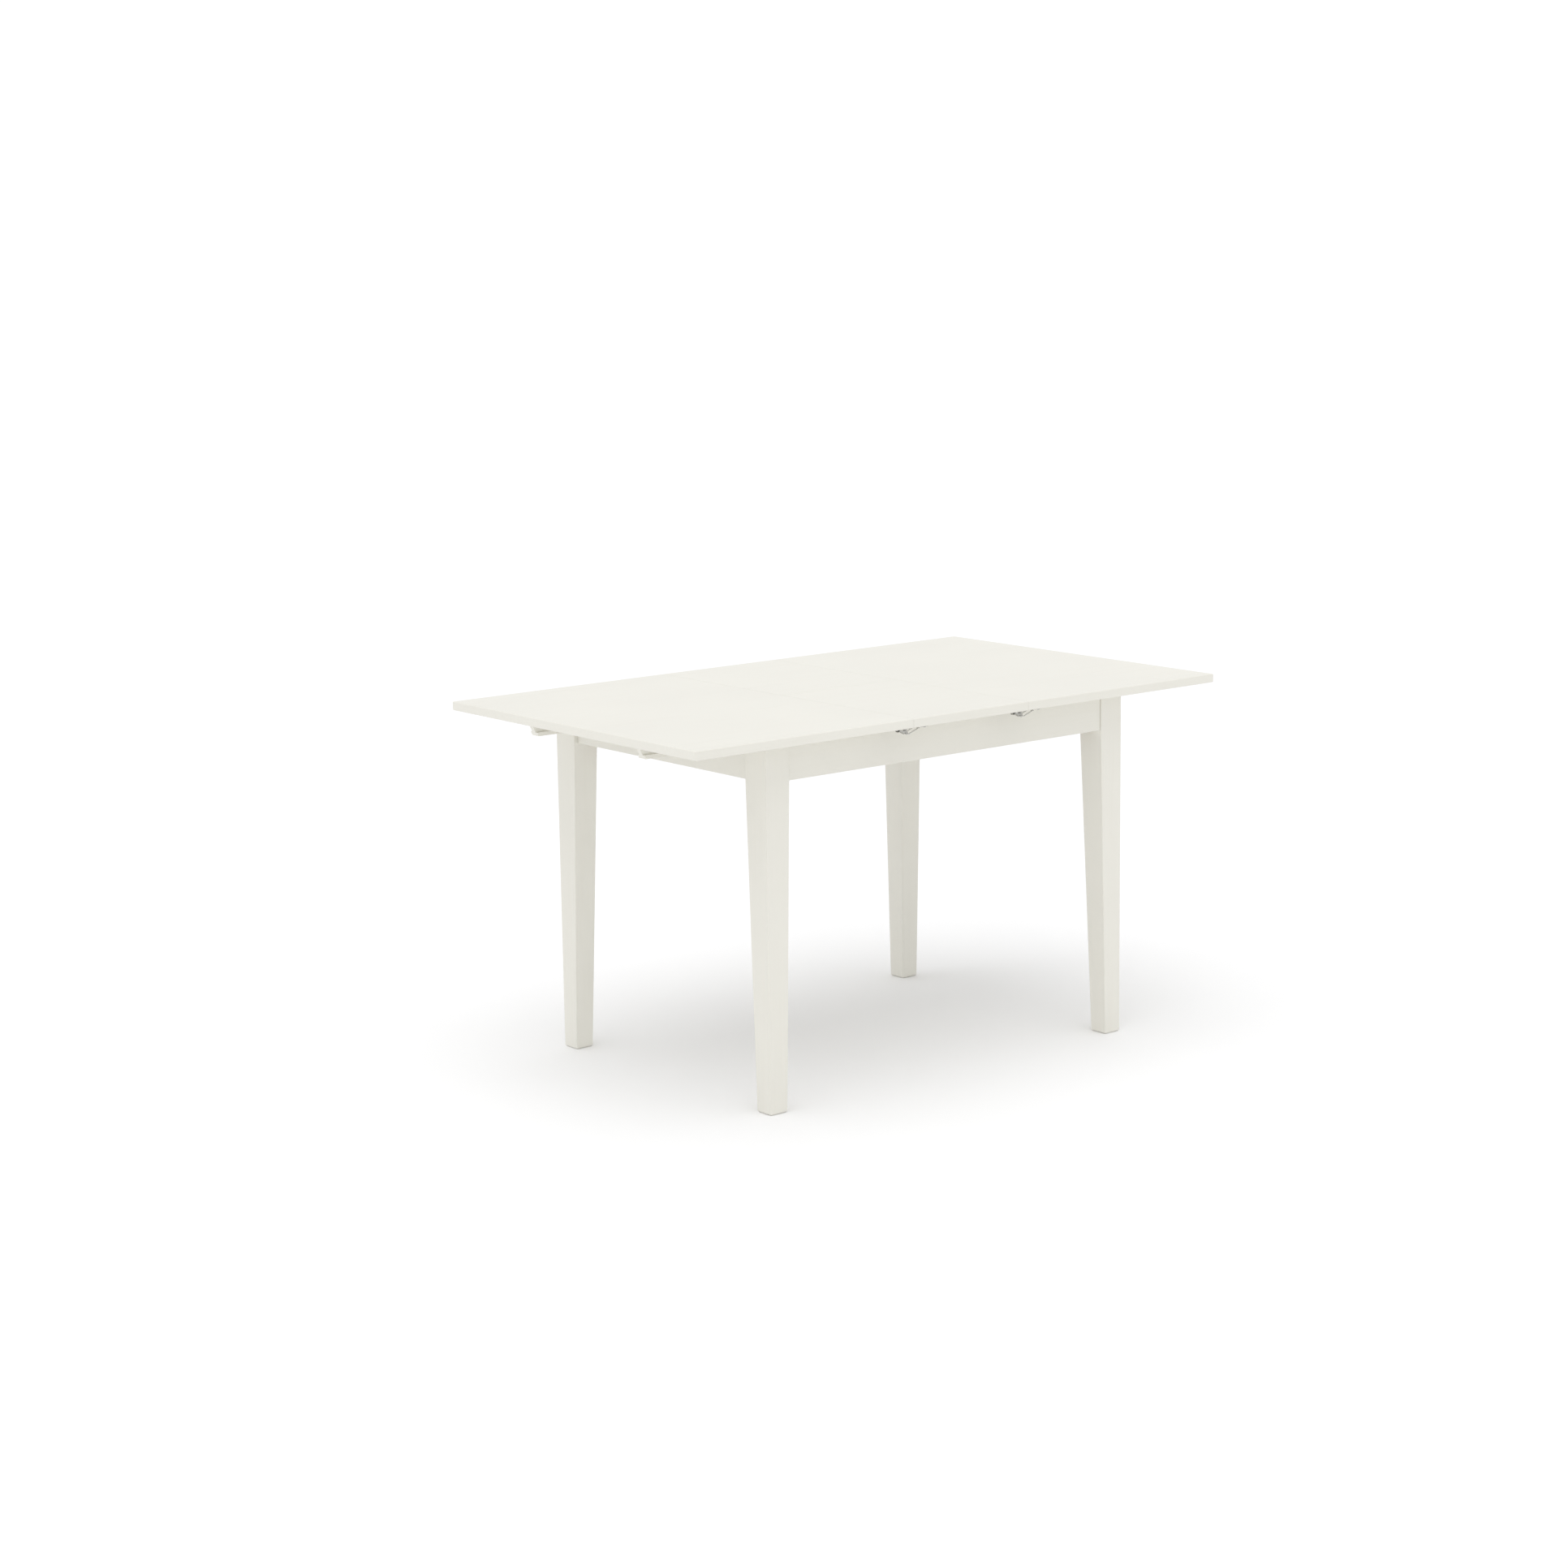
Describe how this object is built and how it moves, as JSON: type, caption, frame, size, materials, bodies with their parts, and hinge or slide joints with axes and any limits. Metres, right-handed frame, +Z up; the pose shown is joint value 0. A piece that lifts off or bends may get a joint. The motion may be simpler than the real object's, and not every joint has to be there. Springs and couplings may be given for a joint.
{
  "type": "extending butterfly-leaf dining table",
  "caption": "White painted wooden dining table on four tapered legs, its top slid open on runners over a folding butterfly leaf, with wire table locks at the seams.",
  "frame": {"origin": "on the floor, below the centre of the extended top", "axes": "+X along the table towards the right-hand end, -Y towards the front, +Z up"},
  "size_m": [1.372, 0.813, 0.75],
  "materials": {
    "painted_wood": "satin off-white paint over fine-grained hardwood",
    "bare_hardwood": "unfinished pale hardwood",
    "zinc_fasteners": "bright zinc",
    "zinc_plate": "dull zinc sheet",
    "steel_wire": "drawn steel wire",
    "hinge_brass": "satin brass",
    "nylon": "natural nylon"
  },
  "bodies": {
    "frame": {"leg_front_left": "painted_wood", "leg_front_right": "painted_wood", "leg_back_left": "painted_wood", "leg_back_right": "painted_wood", "apron_front": "painted_wood", "apron_back": "painted_wood", "apron_left": "painted_wood", "apron_right": "painted_wood", "apron_dowels": "bare_hardwood", "corner_block_front_left": "bare_hardwood", "corner_block_front_right": "bare_hardwood", "corner_block_back_left": "bare_hardwood", "corner_block_back_right": "bare_hardwood", "leg_bolts": "zinc_fasteners", "leg_bolt_washers": "zinc_fasteners", "leg_bolt_nuts": "zinc_fasteners", "frame_screws": "zinc_fasteners", "crossbar_left": "painted_wood", "crossbar_right": "painted_wood", "crossbar_brackets": "zinc_plate", "pivot_bush_left": "nylon", "pivot_bush_right": "nylon"},
    "top_left_half": {"top_left": "painted_wood", "runner_left_front": "painted_wood", "runner_left_back": "painted_wood", "stop_blocks_left": "painted_wood", "runner_screws_left": "zinc_fasteners", "lock_plates_left": "zinc_plate", "lock_screws_left": "zinc_fasteners"},
    "top_right_half": {"top_right": "painted_wood", "runner_right_front": "painted_wood", "runner_right_back": "painted_wood", "stop_blocks_right": "painted_wood", "runner_screws_right": "zinc_fasteners", "lock_keepers_right": "zinc_plate", "lock_screws_right": "zinc_fasteners"},
    "leaf_front_wing": {"leaf_front": "painted_wood", "pivot_plate_left": "zinc_plate", "pivot_plate_right": "zinc_plate", "pivot_plate_screws": "zinc_fasteners", "leaf_hinge_front": "hinge_brass", "lock_plate_leaf_front": "zinc_plate", "lock_keeper_leaf_front": "zinc_plate", "lock_screws_leaf_front": "zinc_fasteners"},
    "leaf_back_wing": {"leaf_back": "painted_wood", "leaf_hinge_back": "hinge_brass", "lock_plate_leaf_back": "zinc_plate", "lock_keeper_leaf_back": "zinc_plate", "lock_screws_leaf_back": "zinc_fasteners"},
    "lever_front_left_body": {"lever_front_left": "zinc_plate"},
    "bail_front_left_body": {"bail_front_left": "steel_wire"},
    "lever_front_right_body": {"lever_front_right": "zinc_plate"},
    "bail_front_right_body": {"bail_front_right": "steel_wire"},
    "lever_back_left_body": {"lever_back_left": "zinc_plate"},
    "bail_back_left_body": {"bail_back_left": "steel_wire"},
    "lever_back_right_body": {"lever_back_right": "zinc_plate"},
    "bail_back_right_body": {"bail_back_right": "steel_wire"}
  },
  "joints": [
    {"name": "pull_out_left", "type": "slide", "parent": "frame", "child": "top_left_half", "axis": [-1, 0, 0], "range_m": [0, 0.02]},
    {"name": "pull_out_right", "type": "slide", "parent": "frame", "child": "top_right_half", "axis": [1, 0, 0], "range_m": [0, 0.02]},
    {"name": "leaf_tilt", "type": "hinge", "parent": "frame", "child": "leaf_front_wing", "pos_m": [0, -0.1, 0.715], "axis": [-1, 0, 0], "range_deg": [0, 90]},
    {"name": "leaf_fold", "type": "hinge", "parent": "leaf_front_wing", "child": "leaf_back_wing", "pos_m": [0, 0, 0.7503], "axis": [1, 0, 0], "range_deg": [0, 180]},
    {"name": "lever_front_left", "type": "hinge", "parent": "top_left_half", "child": "lever_front_left_body", "pos_m": [-0.1625, -0.3915, 0.722], "axis": [0, -1, 0], "range_deg": [0, 150]},
    {"name": "bail_front_left", "type": "hinge", "parent": "lever_front_left_body", "child": "bail_front_left_body", "pos_m": [-0.1661, -0.3915, 0.7218], "axis": [0, -1, 0], "range_deg": [-240, 0]},
    {"name": "lever_front_right", "type": "hinge", "parent": "leaf_front_wing", "child": "lever_front_right_body", "pos_m": [0.1425, -0.3915, 0.722], "axis": [0, -1, 0], "range_deg": [0, 150]},
    {"name": "bail_front_right", "type": "hinge", "parent": "top_right_half", "child": "bail_front_right_body", "pos_m": [0.173, -0.3915, 0.7296], "axis": [0, -1, 0], "range_deg": [0, 22.5]},
    {"name": "lever_back_left", "type": "hinge", "parent": "top_left_half", "child": "lever_back_left_body", "pos_m": [-0.1625, 0.3915, 0.722], "axis": [0, -1, 0], "range_deg": [0, 150]},
    {"name": "bail_back_left", "type": "hinge", "parent": "lever_back_left_body", "child": "bail_back_left_body", "pos_m": [-0.1661, 0.3915, 0.7218], "axis": [0, -1, 0], "range_deg": [-240, 0]},
    {"name": "lever_back_right", "type": "hinge", "parent": "leaf_back_wing", "child": "lever_back_right_body", "pos_m": [0.1425, 0.3915, 0.722], "axis": [0, -1, 0], "range_deg": [0, 150]},
    {"name": "bail_back_right", "type": "hinge", "parent": "top_right_half", "child": "bail_back_right_body", "pos_m": [0.173, 0.3915, 0.7296], "axis": [0, -1, 0], "range_deg": [0, 22.5]}
  ],
  "couplings": [
    {"joint": "leaf_fold", "follows": "leaf_tilt", "ratio": 2},
    {"joint": "bail_front_left", "follows": "lever_front_left", "ratio": -1.6},
    {"joint": "bail_front_right", "follows": "lever_front_right", "ratio": 0.15},
    {"joint": "bail_back_left", "follows": "lever_back_left", "ratio": -1.6},
    {"joint": "bail_back_right", "follows": "lever_back_right", "ratio": 0.15}
  ]
}
